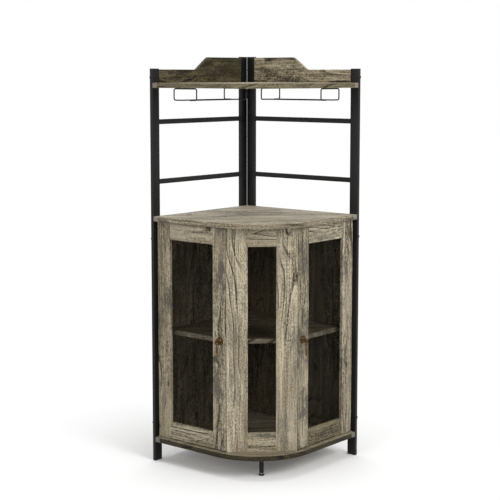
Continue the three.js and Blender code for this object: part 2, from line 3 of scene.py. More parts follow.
import bmesh
import bpy
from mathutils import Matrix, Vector


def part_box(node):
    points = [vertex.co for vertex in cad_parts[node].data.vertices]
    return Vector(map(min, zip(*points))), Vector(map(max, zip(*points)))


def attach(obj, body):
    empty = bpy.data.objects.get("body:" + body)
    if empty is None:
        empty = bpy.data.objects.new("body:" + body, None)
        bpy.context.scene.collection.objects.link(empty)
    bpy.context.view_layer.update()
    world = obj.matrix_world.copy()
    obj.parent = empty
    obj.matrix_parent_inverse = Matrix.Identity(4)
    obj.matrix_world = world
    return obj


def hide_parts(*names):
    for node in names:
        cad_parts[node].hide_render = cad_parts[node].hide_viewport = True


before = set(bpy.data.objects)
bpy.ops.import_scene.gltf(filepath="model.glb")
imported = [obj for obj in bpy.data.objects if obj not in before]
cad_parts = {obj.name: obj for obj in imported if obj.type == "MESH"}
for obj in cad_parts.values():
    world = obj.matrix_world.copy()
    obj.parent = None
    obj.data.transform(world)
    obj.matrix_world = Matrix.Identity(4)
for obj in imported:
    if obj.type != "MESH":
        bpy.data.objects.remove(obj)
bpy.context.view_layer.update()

# Side posts
# Four rectangular steel tubes, two on each wall, powder coated in matte black. Each is
# cut square and keeps the round corners of drawn tube, and a plug closes its top.
seat_gap = 0.0003
corner_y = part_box("top_shelf")[1].y + seat_gap * math.sqrt(2)
frame_thick = 0.011
post_runs = {"front": (0.415, 0.445), "back": (0.0004, 0.0304)}
post_tops = {"front": 1.2151, "back": 1.2539}
foot_flange = 0.0043
tube_corner = 0.0012
tube_wall = 0.0012
tube_hollow = 0.03
plug_drop = 0.0005
plug_gap = 0.0003


def take(piece):
    """Makes a piece the only one selected, and the active one."""
    bpy.ops.object.select_all(action="DESELECT")
    piece.select_set(True)
    bpy.context.view_layer.objects.active = piece


def settle(piece):
    """Takes a piece's place, turn and size into its mesh."""
    take(piece)
    bpy.ops.object.transform_apply(location=True, rotation=True, scale=True)
    return piece


def cut_block(name, x, y, z):
    """Adds a block that fills the space between two planes each way."""
    bpy.ops.mesh.primitive_cube_add(size=1, location=[(a + b) / 2 for a, b in (x, y, z)])
    piece = bpy.context.object
    piece.name = name
    piece.scale = [abs(b - a) for a, b in (x, y, z)]
    return settle(piece)


def begin_shaping(piece):
    """Opens a piece in edit mode with nothing selected."""
    take(piece)
    bpy.ops.object.mode_set(mode="EDIT")
    bpy.ops.mesh.select_mode(type="FACE")
    bpy.ops.mesh.select_all(action="DESELECT")


def end_shaping():
    bpy.ops.object.mode_set(mode="OBJECT")


def pick(piece, kind, fits):
    """Selects the faces, edges or points that fit."""
    bpy.ops.mesh.select_mode(type=kind)
    bpy.ops.mesh.select_all(action="DESELECT")
    mesh = bmesh.from_edit_mesh(piece.data)
    for part in {"FACE": mesh.faces, "EDGE": mesh.edges, "VERT": mesh.verts}[kind]:
        if fits(part):
            part.select_set(True)
    bmesh.update_edit_mesh(piece.data)


def pick_faces(piece, wanted):
    """Selects the faces whose middle and outward direction the test accepts."""
    pick(piece, "FACE", lambda face: wanted(face.calc_center_median(), face.normal))


def pick_edges(piece, wanted):
    """Selects the edges whose middle and direction the test accepts."""
    def fits(edge):
        start, stop = (point.co for point in edge.verts)
        run = (stop - start).normalized()
        return wanted((start + stop) / 2, Vector(map(abs, run)))

    pick(piece, "EDGE", fits)


def round_picked(width, steps):
    bpy.ops.mesh.bevel(offset=width, segments=steps, affect="EDGES")


def push_picked(way):
    bpy.ops.mesh.extrude_region_move(TRANSFORM_OT_translate={"value": way})


def step_in(margin, way):
    """Draws the picked faces in by a margin, then pushes them on."""
    bpy.ops.mesh.inset(thickness=margin)
    push_picked(way)


def smooth_curved_faces(piece, angle=35):
    take(piece)
    bpy.ops.object.shade_smooth_by_angle(angle=math.radians(angle))


def stand_on_left_wall(piece):
    """Turns a finished piece to its place in the room. It is made in metres, with x running
    inwards from the frame and y along the wall, which is negative to the front."""
    piece.rotation_euler.z = math.radians(-45)
    piece.location.y = corner_y
    settle(piece)


def copy_piece(piece, name):
    take(piece)
    bpy.ops.object.duplicate(linked=False)
    copy = bpy.context.object
    copy.name = name
    return copy


def mirror_to_right_wall(piece, name):
    """Copies a piece of the left wall to the right wall, with its faces outwards."""
    copy = copy_piece(piece, name)
    copy.scale.x = -1
    settle(copy)
    begin_shaping(copy)
    bpy.ops.mesh.select_all(action="SELECT")
    bpy.ops.mesh.normals_make_consistent(inside=False)
    end_shaping()
    return copy


def dress(piece, body, material, slot, *nodes):
    """Gives a piece its finish and its body, and the solids that it stands for."""
    if not piece.data.materials:
        piece.data.materials.append(material)
    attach(piece, body)
    if nodes:
        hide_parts(*nodes)


def dress_both_sides(left, body, finish, slot, *nodes):
    """Copies a piece of the left wall to the right wall and dresses both. The finish is one
    material or one for each side, and the other names are those of the left side."""
    right = mirror_to_right_wall(left, left.name.replace("left", "right"))
    for side, piece in (("left", left), ("right", right)):
        material = finish[side] if isinstance(finish, dict) else finish
        own_nodes = [node.replace("left", side) for node in nodes]
        dress(piece, body.replace("left", side), material, slot, *own_nodes)


def give(socket, value):
    """Gives a node's input a plain value or another node's output."""
    if isinstance(value, bpy.types.NodeSocket):
        socket.id_data.links.new(value, socket)
    else:
        socket.default_value = value


def fill(node, **settings):
    """Fills in a node's own settings and its inputs."""
    for key, value in settings.items():
        if key in node.bl_rna.properties:
            setattr(node, key, value)
        else:
            give(node.inputs[key.replace("_", " ")], value)


def add_node(tree, kind, **settings):
    node = tree.nodes.new(kind)
    fill(node, **settings)
    return node


def tree_of(*values):
    return next(value.id_data for value in values if isinstance(value, bpy.types.NodeSocket))


def work(kind, *values):
    """One step of arithmetic with outputs of nodes and plain numbers."""
    node = add_node(tree_of(*values), "ShaderNodeMath", operation=kind)
    for socket, value in zip(node.inputs, values):
        give(socket, value)
    return node.outputs[0]


def between(value, low, high, to_low=0.0, to_high=1.0, kind="LINEAR"):
    """Takes a value from one range into another, and not past its ends."""
    node = add_node(value.id_data, "ShaderNodeMapRange", interpolation_type=kind, Value=value)
    fill(node, From_Min=low, From_Max=high, To_Min=to_low, To_Max=to_high)
    return node.outputs[0]


def blend(factor, first, second, way="MIX"):
    """Mixes two colours."""
    tree = tree_of(factor, first, second)
    node = add_node(tree, "ShaderNodeMix", data_type="RGBA", blend_type=way)
    fill(node, Factor=factor, A=first, B=second)
    return node.outputs["Result"]


def own_place(tree):
    return add_node(tree, "ShaderNodeTexCoord").outputs["Object"]


def noise(place, scale, detail, roughness=0.5):
    """Cloudy noise, as fine as its scale is large."""
    node = add_node(place.id_data, "ShaderNodeTexNoise", Vector=place)
    fill(node, Scale=scale, Detail=detail, Roughness=roughness)
    return node.outputs[0]


def new_material(name):
    material = bpy.data.materials.new(name)
    material.use_nodes = True
    tree = material.node_tree
    tree.nodes.clear()
    surface = add_node(tree, "ShaderNodeBsdfPrincipled")
    add_node(tree, "ShaderNodeOutputMaterial", Surface=surface.outputs[0])
    return material, surface


def lay_finish(surface, color, roughness, relief, strength, depth):
    """Gives a surface its colour, its roughness and a fine relief."""
    bump = add_node(surface.id_data, "ShaderNodeBump", Strength=strength, Distance=depth, Height=relief)
    fill(surface, Base_Color=color, Roughness=roughness, Normal=bump.outputs[0])


def new_group(name, taken, handed_on):
    """Starts a group of shader nodes with named inputs and outputs."""
    group = bpy.data.node_groups.new(name, "ShaderNodeTree")
    for way, sockets in (("INPUT", taken), ("OUTPUT", handed_on)):
        for key, kind in sockets.items():
            group.interface.new_socket(key, in_out=way, socket_type=f"NodeSocket{kind}")
    return group, group.nodes.new("NodeGroupInput").outputs, group.nodes.new("NodeGroupOutput")


def powder_coat_group():
    """Fine orange peel, faint dust on faces that look up, and slightly uneven gloss."""
    group, given, result = new_group(
        "powder coat",
        {"Coat Color": "Color", "Dust Color": "Color", "Base Roughness": "Float"},
        {"Color": "Color", "Roughness": "Float", "Height": "Float"},
    )
    place = own_place(group)
    cloud = noise(place, 14.0, 4.0)
    normal = add_node(group, "ShaderNodeNewGeometry").outputs["Normal"]
    up = add_node(group, "ShaderNodeSeparateXYZ", Vector=normal).outputs["Z"]
    dust = work("MULTIPLY", between(up, 0.6, 1.0, 0.0, 0.35), cloud)
    coat = blend(1.0, given["Coat Color"], between(cloud, 0.3, 0.7, 0.75, 1.25), "MULTIPLY")
    uneven = between(cloud, 0.3, 0.7, -0.06, 0.06)
    fill(
        result,
        Color=blend(dust, coat, given["Dust Color"]),
        Roughness=work("ADD", uneven, given["Base Roughness"]),
        Height=noise(place, 1400.0, 2.0),
    )
    return group


powder_coat = powder_coat_group()
dust_color = (0.08, 0.077, 0.073, 1)


def coated_steel(name, color, roughness, peel_height):
    material, surface = new_material(name)
    surface.inputs["Specular IOR Level"].default_value = 0.28
    coat = add_node(material.node_tree, "ShaderNodeGroup", node_tree=powder_coat)
    fill(coat, Coat_Color=(*color, 1), Dust_Color=dust_color, Base_Roughness=roughness)
    laid = coat.outputs
    lay_finish(surface, laid["Color"], laid["Roughness"], laid["Height"], 0.5, peel_height)
    return material


black_coat = coated_steel("black powder coat", (0.0036, 0.0032, 0.0031), 0.46, 0.00006)

for place, run in post_runs.items():
    top = post_tops[place]
    post = cut_block(f"left_{place}_post_tube", (-frame_thick, 0), (-run[1], -run[0]), (foot_flange, top))
    begin_shaping(post)
    # The two back posts nearly touch, along a corner that is left sharp
    pick_edges(post, lambda middle, way: way.z > 0.9 and min(middle.x, middle.y) < -0.001)
    round_picked(tube_corner, 4)
    # The plug in the top end, with the fine line round it
    pick_faces(post, lambda middle, normal: normal.z > 0.9 and middle.z > top - 0.001)
    step_in(tube_wall, (0, 0, -plug_drop))
    step_in(plug_gap, (0, 0, plug_drop))
    # The open lower end
    pick_faces(post, lambda middle, normal: normal.z < -0.9 and middle.z < foot_flange + 0.001)
    step_in(tube_wall, (0, 0, tube_hollow))
    end_shaping()
    smooth_curved_faces(post)
    stand_on_left_wall(post)
    dress_both_sides(post, "cabinet", black_coat, "black_steel", f"left_{place}_post")

# Bolts of the posts
# Low button-head bolts of blackened steel through the narrow front faces of the front
# posts, each with a recess for the key. The upper ones hold the gallery boards, and the
# others hold the cupboard.
bolt_heights = (1.189, 0.698, 0.122)
bolt_radius = 0.0045
bolt_rise = 0.003
bolt_dome = 0.0014
recess_rim = 0.0012
recess_depth = 0.0013
quarter_turn = math.radians(90)


def add_cylinder(name, sides, radius, length, place, turn):
    bpy.ops.mesh.primitive_cylinder_add(
        vertices=sides, radius=radius, depth=length, location=place, rotation=turn
    )
    piece = bpy.context.object
    piece.name = name
    return settle(piece)


bolt_black = coated_steel("black bolt finish", (0.02, 0.02, 0.021), 0.36, 0.00002)
bolt_foot = -post_runs["front"][1]
bolt_place = (-frame_thick / 2, bolt_foot - bolt_rise / 2, 0)
bolt = add_cylinder("bolt", 30, bolt_radius, bolt_rise, bolt_place, (quarter_turn, 0, 0))
begin_shaping(bolt)
pick_edges(bolt, lambda middle, run: abs(middle.y - bolt_foot + bolt_rise) < 1e-5)
round_picked(bolt_dome, 4)
pick_faces(bolt, lambda middle, normal: normal.y < -0.99)
step_in(recess_rim, (0, recess_depth, 0))
end_shaping()
smooth_curved_faces(bolt)
stand_on_left_wall(bolt)
for number, height in enumerate(bolt_heights):
    left = copy_piece(bolt, f"left_post_bolt_{number}")
    left.location.z = height
    settle(left)
    dress_both_sides(left, "cabinet", bolt_black, "black_steel")
bpy.data.objects.remove(bolt)

# Post feet
# Moulded plastic caps pushed into the open ends of the posts. The flange that stands on
# the floor has soft edges, and a plug with a chamfered end holds it in the tube.
foot_height = 0.004
foot_corner = 0.0016
foot_sole = 0.0008
plug_margin = 0.0016
plug_length = 0.011
plug_chamfer = 0.001


def two_tones(value, dark, light, low, high):
    """A colour that goes from dark to light while a value goes from low to high."""
    ramp = add_node(value.id_data, "ShaderNodeValToRGB", Fac=value)
    for element, place, color in zip(ramp.color_ramp.elements, (low, high), (dark, light)):
        element.position = place
        element.color = (*color, 1)
    return ramp.outputs[0]


def moulded_plastic(name, color, roughness, grain):
    """Spark-eroded plastic: a fine even grain and faintly cloudy gloss."""
    material, surface = new_material(name)
    place = own_place(material.node_tree)
    fine = add_node(material.node_tree, "ShaderNodeTexVoronoi", Vector=place, Scale=grain)
    cloud = noise(place, 60.0, 3.0)
    tone = two_tones(cloud, [c * 0.75 for c in color], [c * 1.3 for c in color], 0.3, 0.7)
    gloss = between(cloud, 0.0, 1.0, roughness - 0.08, roughness + 0.08)
    lay_finish(surface, tone, gloss, fine.outputs["Distance"], 0.4, 0.00004)
    return material


black_plastic = moulded_plastic("black moulded plastic", (0.012, 0.012, 0.013), 0.55, 2200.0)

for place, run in post_runs.items():
    cap = cut_block(f"left_{place}_foot_cap", (-frame_thick, 0), (-run[1], -run[0]), (0, foot_height))
    begin_shaping(cap)
    pick_edges(cap, lambda middle, way: way.z > 0.9)
    round_picked(foot_corner, 4)
    pick_faces(cap, lambda middle, normal: normal.z > 0.9)
    step_in(plug_margin, (0, 0, plug_length))
    push_picked((0, 0, plug_chamfer))
    bpy.ops.transform.resize(value=(0.9, 0.9, 1))
    pick_edges(cap, lambda middle, way: middle.z < 0.0001)
    round_picked(foot_sole, 3)
    end_shaping()
    smooth_curved_faces(cap)
    stand_on_left_wall(cap)
    dress_both_sides(cap, "cabinet", black_plastic, "black_plastic", f"left_{place}_post_foot")

# Cross rails
# Small rectangular steel tubes welded between the posts: two guard rails over the
# counter and one behind the bottom board on each wall, coated together with the posts.
rail_height = 0.015
rail_depth = 0.010
rail_corner = 0.0018
rail_levels = {"upper": 1.05404, "lower": 0.87191, "bottom": 0.0685}
rail_start = -post_runs["front"][0]
rail_stop = -post_runs["back"][1]
rail_fit = 0.0001
weld_run = 0.0022
weld_swell = (1.09, 1, 1.12)


def cut_across(place, way):
    """Cuts a piece in edit mode through, across a direction."""
    bpy.ops.mesh.select_all(action="SELECT")
    bpy.ops.mesh.bisect(plane_co=place, plane_no=way)


for place, level in rail_levels.items():
    rail = cut_block(
        f"left_{place}_rail_tube",
        (-frame_thick / 2 - rail_depth / 2, -frame_thick / 2 + rail_depth / 2),
        (rail_start + rail_fit, rail_stop - rail_fit),
        (level - rail_height / 2, level + rail_height / 2),
    )
    begin_shaping(rail)
    pick_edges(rail, lambda middle, run: run.y > 0.9)
    round_picked(rail_corner, 4)
    for end in (rail_start + weld_run, rail_stop - weld_run):
        cut_across((0, end, 0), (0, 1, 0))
    # The weld bead swells a little towards each post
    for end in (rail_start + rail_fit, rail_stop - rail_fit):
        pick_faces(rail, lambda middle, normal: abs(middle.y - end) < 1e-5)
        bpy.ops.transform.resize(value=weld_swell)
    end_shaping()
    smooth_curved_faces(rail, 50)
    stand_on_left_wall(rail)
    dress_both_sides(rail, "cabinet", black_coat, "black_steel", f"left_{place}_rail")

# The three large boards
# Bottom board, counter and top shelf: particle board with a printed paper of weathered
# grey-brown oak, its front edges covered by a thin glued band. One large round nose.
board_thick = 0.015
board_reach = 0.445
board_back = 0.0003
board_nose = 0.192
board_levels = {"bottom_board": 0.061, "counter_top": 0.752, "top_shelf": 1.157}
band_soft = 0.0007
band_joint = 0.0009
band_joint_rise = 0.00005
band_length = 2 * (board_reach - board_nose) + board_nose * math.pi / 2
pale_end_length = 0.0185


def weathered_oak_group():
    """Printed weathered oak. X runs across the board, Y through it and Z along the grain.
    Rings of a trunk, cut lengthwise, give thin dark lines and tall arches. Straight fibres
    and fine flecks lie between them, with smudges, knots and hair cracks on top."""
    colors = ("Light Color", "Mid Color", "Dark Color", "Smudge Color")
    taken = {"Vector": "Vector"}
    taken.update({key: "Color" for key in colors})
    taken.update({key: "Float" for key in ("Smudges", "Rings", "Fibres")})
    handed_on = {"Color": "Color", "Roughness": "Float", "Height": "Float"}
    group, given, result = new_group("weathered oak", taken, handed_on)

    def stretched(scale):
        return add_node(group, "ShaderNodeMapping", Vector=given["Vector"], Scale=scale).outputs[0]

    def grain_noise(scale, detail, roughness=0.5):
        return noise(stretched(scale), 1.0, detail, roughness)

    def soft(value, low, high, to_low=0.0, to_high=1.0):
        return between(value, low, high, to_low, to_high, "SMOOTHSTEP")

    along = add_node(group, "ShaderNodeSeparateXYZ", Vector=given["Vector"]).outputs

    # Knots lie far apart, and the rings bend round them
    cells = stretched((11.0, 3.0, 4.2))
    knots = add_node(group, "ShaderNodeTexVoronoi", Vector=cells, Scale=1.0, Randomness=0.95)
    near_knot = soft(knots.outputs["Distance"], 0.30, 0.04)
    knot_core = soft(knots.outputs["Distance"], 0.075, 0.03)

    # Rings: the late wood of each year is a thin dark line
    wander = grain_noise((7.0, 4.0, 1.3), 2.0)
    shiver = grain_noise((45.0, 25.0, 9.0), 3.0, 0.55)
    across = work("MULTIPLY_ADD", wander, 0.09, along["X"])
    across = work("MULTIPLY_ADD", near_knot, 0.016, across)
    across = work("MULTIPLY_ADD", shiver, 0.010, across)
    folded = work("PINGPONG", across, 0.07)
    rise = grain_noise((4.0, 3.0, 1.4), 2.0)
    depth = work("MULTIPLY_ADD", rise, 0.13, work("MULTIPLY_ADD", along["Z"], 0.03, along["Y"]))
    radius = work("POWER", work("ADD", work("POWER", folded, 2.0), work("POWER", depth, 2.0)), 0.5)
    wave = work("MULTIPLY", radius, 820.0)
    late_wood = soft(work("SINE", wave), 0.6, 0.98)
    early_wood = soft(work("SINE", work("ADD", wave, 1.3)), 0.6, 0.98)
    ring_fade = soft(grain_noise((14.0, 9.0, 3.2), 3.0), 0.45, 0.60)
    rings = work("MULTIPLY", work("MULTIPLY", late_wood, ring_fade), given["Rings"])
    pale_rings = work("MULTIPLY", work("MULTIPLY", early_wood, ring_fade), given["Rings"])

    # Straight fibres, short flecks, long streaks and hair cracks
    fibre = grain_noise((270.0, 210.0, 11.0), 3.0, 0.55)
    fleck = grain_noise((250.0, 200.0, 150.0), 3.0, 0.6)
    streak = grain_noise((60.0, 40.0, 2.2), 3.0, 0.6)
    lively = soft(grain_noise((12.0, 8.0, 3.0), 2.0), 0.35, 0.65, 0.5, 1.3)
    pit = soft(grain_noise((330.0, 260.0, 170.0), 1.0), 0.66, 0.76)
    crack_line = work("ABSOLUTE", work("SUBTRACT", grain_noise((55.0, 30.0, 3.2), 3.0, 0.6), 0.5))
    crack_part = soft(grain_noise((16.0, 9.0, 6.0), 2.0), 0.52, 0.60)
    crack = work("MULTIPLY", soft(crack_line, 0.010, 0.0), crack_part)

    # Smudges: soft clouds, broken up by small ones
    cloud = grain_noise((20.0, 14.0, 7.5), 4.0, 0.6)
    patch = grain_noise((70.0, 50.0, 30.0), 4.0, 0.7)
    smudge = soft(work("MULTIPLY_ADD", patch, 0.5, cloud), 0.74, 0.95)
    mottle = soft(fleck, 0.35, 0.65, 1.2, 0.6)
    smudge = work("MULTIPLY", work("MULTIPLY", smudge, mottle), given["Smudges"])
    bleach = soft(grain_noise((34.0, 20.0, 4.0), 4.0, 0.65), 0.5, 0.66)

    # 1 is the palest print and 0 the darkest
    grain = work("MULTIPLY", work("SUBTRACT", fleck, 0.5), 1.75)
    grain = work("MULTIPLY_ADD", work("SUBTRACT", fibre, 0.5), 1.5, grain)
    grain = work("MULTIPLY", grain, lively)
    tone = work("MULTIPLY_ADD", grain, given["Fibres"], 0.60)
    for mark, share in (
        (work("SUBTRACT", streak, 0.5), 1.0),
        (bleach, 0.16),
        (rings, -0.5),
        (pale_rings, 0.2),
        (crack, -0.42),
        (near_knot, -0.10),
        (knot_core, -0.45),
        (work("MULTIPLY", pit, given["Fibres"]), -0.5),
    ):
        tone = work("MULTIPLY_ADD", mark, share, tone)
    light, mid, dark, smudged = (given[key] for key in colors)
    bare = blend(between(tone, 0.5, 1.0), blend(between(tone, 0.0, 0.5), dark, mid), light)
    smudge_share = work("MINIMUM", work("MULTIPLY", smudge, 0.6), 0.9)
    height = work("MULTIPLY_ADD", crack, -1.0, work("MULTIPLY", fleck, 0.6))
    fill(
        result,
        Color=blend(smudge_share, bare, smudged),
        Roughness=soft(tone, 0.0, 1.0, 0.75, 0.55),
        Height=work("MULTIPLY_ADD", rings, -0.4, height),
    )
    return group


weathered_oak = weathered_oak_group()
oak_colors = {
    "Light Color": (0.53, 0.467, 0.338),
    "Mid Color": (0.238, 0.201, 0.138),
    "Dark Color": (0.035, 0.028, 0.019),
    "Smudge Color": (0.108, 0.097, 0.079),
}
pale_end_color = (0.30, 0.265, 0.25, 1)
wall_turns = {
    "front": 0, "band": -90, "left door": 45, "right door": -45, "left wall": -45, "right wall": 45,
}
grain_turns = {"upright": (0, 0, 0), "level": (0, quarter_turn, 0), "lengthwise": (quarter_turn, 0, 0)}


def show_pale_ends(place, color):
    """The last stretch of a band, beside each post, is paler and greyer."""
    run = add_node(place.id_data, "ShaderNodeSeparateXYZ", Vector=place).outputs["X"]
    from_middle = work("ABSOLUTE", work("SUBTRACT", run, band_length / 2))
    at_end = work("GREATER_THAN", from_middle, band_length / 2 - pale_end_length)
    return blend(work("MULTIPLY", at_end, 0.6), color, pale_end_color)


def oak_print(name, lie, shift, shade=1.0, smudges=1.0, rings=1.0, fibres=1.0, smudge_color=None):
    """Oak print for a piece along one of the walls, across the front or round a band, and
    shift picks another part of the sheet. A darker print is also a browner one."""
    material, surface = new_material(name)
    surface.inputs["Specular IOR Level"].default_value = 0.2
    tree = material.node_tree
    wall, way = lie.split(", ")
    if wall == "band":
        place = add_node(tree, "ShaderNodeUVMap", uv_map="band").outputs["UV"]
    else:
        place = own_place(tree)
    facing = add_node(tree, "ShaderNodeMapping", Vector=place)
    fill(facing, Rotation=(0, 0, math.radians(wall_turns[wall])))
    laid = add_node(tree, "ShaderNodeMapping", Vector=facing.outputs[0])
    fill(laid, Location=shift, Rotation=grain_turns[way])
    oak = add_node(tree, "ShaderNodeGroup", node_tree=weathered_oak, Vector=laid.outputs[0])
    fill(oak, Smudges=smudges, Rings=rings, Fibres=fibres)
    for key, color in oak_colors.items():
        if key == "Smudge Color" and smudge_color:
            color = smudge_color
        toned = [c * shade ** power for c, power in zip(color, (1, 1.05, 1.25))]
        oak.inputs[key].default_value = (*toned, 1)
    color = oak.outputs["Color"]
    if wall == "band":
        color = show_pale_ends(place, color)
    lay_finish(surface, color, oak.outputs["Roughness"], oak.outputs["Height"], 0.5, 0.0002)
    return material


board_prints = {
    "bottom_board": oak_print("oak on the bottom board", "front, level", (0.3, 1.1, 0.2), 0.8),
    "counter_top": oak_print("oak on the counter", "front, level", (1.7, 0.4, 0.9), 1.38, 1.7, 0.6, 0.7),
    "top_shelf": oak_print("oak on the top shelf", "front, level", (2.9, 2.2, 1.4), 0.9),
}
# The bands of the bottom board (0.09) and the top shelf (0.45) get darker prints, which are partly painted
# shade
# Of each print: its place on the sheet, shade, smudges, rings and fibres
band_cuts = {
    "bottom_board": ((0.15, 3.3, 0.75), 0.09, 1.2, 1.6, 1.7),
    "counter_top": ((0.9, 4.1, 1.9), 0.85, 1.2, 0.9, 1.2),
    "top_shelf": ((2.2, 5.2, 0.1), 0.45, 1.2, 0.9, 1.5),
}


def unroll_band(board):
    """Lays the band's print along the edge and round the nose, before the board is placed."""
    sheet = board.data.uv_layers.new(name="band")
    start = board_reach - board_nose
    for loop in board.data.loops:
        place = board.data.vertices[loop.vertex_index].co
        inward, along = place.x - start, -place.y - start
        if inward > 0 and along > 0:
            run = start + board_nose * math.atan2(inward, along)
        elif along > 0:
            run = place.x
        else:
            run = start + board_nose * math.pi / 2 - along
        sheet.data[loop.index].uv = (run, place.z)


def finish_modifiers(piece):
    take(piece)
    for modifier in list(piece.modifiers):
        bpy.ops.object.modifier_apply(modifier=modifier.name)


def ease_edges(piece, width, steps=2, angle=35):
    """Rounds every sharp edge a little, as a file or sandpaper leaves it."""
    bevel = piece.modifiers.new("eased edges", "BEVEL")
    bevel.width = width
    bevel.segments = steps
    bevel.limit_method = "ANGLE"
    bevel.angle_limit = math.radians(angle)
    finish_modifiers(piece)


def shape_board(name, reach, back, corner, steps, level):
    board = cut_block(name, (back, reach), (-reach, -back), (level, level + board_thick))
    begin_shaping(board)
    near = reach - 1e-4
    pick_edges(board, lambda middle, run: run.z > 0.9 and middle.x > near and middle.y < -near)
    round_picked(corner, steps)
    # A fine line shows where the glued band begins
    for side in (1, -1):
        pick_faces(board, lambda middle, normal: normal.z * side > 0.9)
        bpy.ops.mesh.inset(thickness=band_joint)
        bpy.ops.transform.translate(value=(0, 0, side * band_joint_rise))
    end_shaping()
    ease_edges(board, band_soft, 3, 50)
    return board


def lay_two_finishes(piece, common, special, is_special):
    """Gives a piece one finish, and another one on the faces that the test accepts."""
    piece.data.materials.append(common)
    piece.data.materials.append(special)
    for face in piece.data.polygons:
        face.material_index = int(is_special(face))


def is_edge(face):
    return abs(face.normal.z) < 0.6


blank = shape_board("board_blank", board_reach, board_back, board_nose, 64, 0.0)
unroll_band(blank)
stand_on_left_wall(blank)
for node, level in board_levels.items():
    board = copy_piece(blank, f"{node}_laminate")
    board.location.z = level
    settle(board)
    band_name = board_prints[node].name + "'s band"
    band_print = oak_print(band_name, "band, lengthwise", *band_cuts[node])
    lay_two_finishes(board, board_prints[node], band_print, is_edge)
    smooth_curved_faces(board, 40)
    dress(board, "cabinet", board_prints[node], "oak", node)
bpy.data.objects.remove(blank)

# Middle shelf
# A five-sided board of the same print, with a band round its edges. It isn't fixed: it
# lies loose on four steel pins inside the cupboard.
shelf_back = 0.0156
shelf_reach = 0.400
shelf_cut = 0.1338
shelf_level = 0.399

# The shelf's own print is darkened (0.45) as painted shade inside the cupboard; its band has the common
# shade
shelf_print = oak_print("oak on the middle shelf", "front, level", (4.1, 0.9, 2.2), 0.45)
shelf_band_print = oak_print("oak on the middle shelf's band", "front, level", (6.3, 1.4, 3.0), 1.0)
shelf = shape_board("middle_shelf_laminate", shelf_reach, shelf_back, shelf_cut, 1, shelf_level)
stand_on_left_wall(shelf)
lay_two_finishes(shelf, shelf_print, shelf_band_print, is_edge)
dress(shelf, "cabinet", shelf_print, "oak", "middle_shelf")

# Shelf pins
# Four turned steel pins, plated with zinc and pushed into blind holes of the side
# panels. Their thicker ends carry the middle shelf.


def plated_steel(name, color):
    """Bright zinc plate: fine turning marks and cloudy spangle."""
    material, surface = new_material(name)
    surface.inputs["Metallic"].default_value = 1.0
    place = own_place(material.node_tree)
    spangle = add_node(material.node_tree, "ShaderNodeTexVoronoi", Vector=place, Scale=420.0)
    cloud = noise(place, 180.0, 4.0)
    dull, bright = ((*[c * share for c in color], 1) for share in (0.8, 1.15))
    tone = blend(spangle.outputs["Distance"], dull, bright)
    lay_finish(surface, tone, between(cloud, 0.0, 1.0, 0.25, 0.5), cloud, 0.3, 0.00003)
    return material


def finish_node(node, material):
    """Gives a carried-over solid its finish."""
    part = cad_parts[node]
    part.data.materials.clear()
    part.data.materials.append(material)


zinc = plated_steel("bright zinc plate", (0.52, 0.52, 0.5))
for side in ("left", "right"):
    for place in ("front", "back"):
        finish_node(f"{side}_shelf_pin_{place}", zinc)

# Side panels
# Two laminated boards inside the frames close the cupboard towards the walls. They meet
# with a butt joint at the corner, and blind holes take the shelf pins. The grain stands
# upright. The inner faces' darker print, much darker on the right, is painted shade.
side_panel_depth = (0.0003, 0.0153)
side_panel_front = 0.413
side_panel_level = (0.0763, 0.7517)
side_panel_ends = {"left": 0.0156, "right": 0.0003}
side_panel_ease = 0.0004
pin_hole_places = (0.075, 0.340)
pin_hole_level = 0.3947
pin_hole_radius = 0.0028
pin_hole_depth = 0.0093


def cut_away(piece, tool):
    """Takes a tool's space out of a piece, as a cutter or a drill does."""
    cut = piece.modifiers.new("cut", "BOOLEAN")
    cut.operation = "DIFFERENCE"
    cut.object = tool
    cut.solver = "EXACT"
    finish_modifiers(piece)
    bpy.data.objects.remove(tool)


outer_cuts = {"left": ((2.6, 0.0, 1.0), 0.85, 1.4), "right": ((3.9, 0.0, 2.1), 0.85, 1.4)}
# The darker inner prints are painted shade inside the cupboard
shaded_inner_cuts = {
    "left": ((0.6, 0.0, 0.3), 0.72, 1.0, 0.5, 1.2),
    "right": ((1.9, 0.0, 1.3), 0.42, 1.0, 0.5, 1.2),
}
for side, back in side_panel_ends.items():
    panel = cut_block("side_panel_blank", side_panel_depth, (-side_panel_front, -back), side_panel_level)
    for run in pin_hole_places:
        mouth = (side_panel_depth[1], -run, pin_hole_level)
        drill = add_cylinder("drill", 16, pin_hole_radius, 2 * pin_hole_depth, mouth, (0, quarter_turn, 0))
        cut_away(panel, drill)
    ease_edges(panel, side_panel_ease)
    stand_on_left_wall(panel)
    if side == "right":
        blank = panel
        panel = mirror_to_right_wall(blank, "right_side_laminate")
        bpy.data.objects.remove(blank)
    panel.name = f"{side}_side_laminate"
    outer_print = oak_print(f"oak on the {side} side", f"{side} wall, upright", *outer_cuts[side])
    inner_print = oak_print(f"oak inside on the {side}", f"{side} wall, upright", *shaded_inner_cuts[side])
    into_room = Vector((1 if side == "left" else -1, -1, 0)).normalized()
    lay_two_finishes(panel, outer_print, inner_print, lambda face: face.normal.dot(into_room) > 0.9)
    dress(panel, "cabinet", outer_print, "oak", f"{side}_side_panel")

# Gallery boards
# Low boards between the posts round the top shelf. Each steps up to the corner with a
# slope whose foot and brow are rounded.
gallery_run = (-0.4147, -0.0307)
gallery_bottom = 1.157
gallery_low = 1.2124
gallery_high = 1.2512
gallery_ease = 0.0005
slope_ends = (-0.245, -0.190)
slope_round = 0.0038

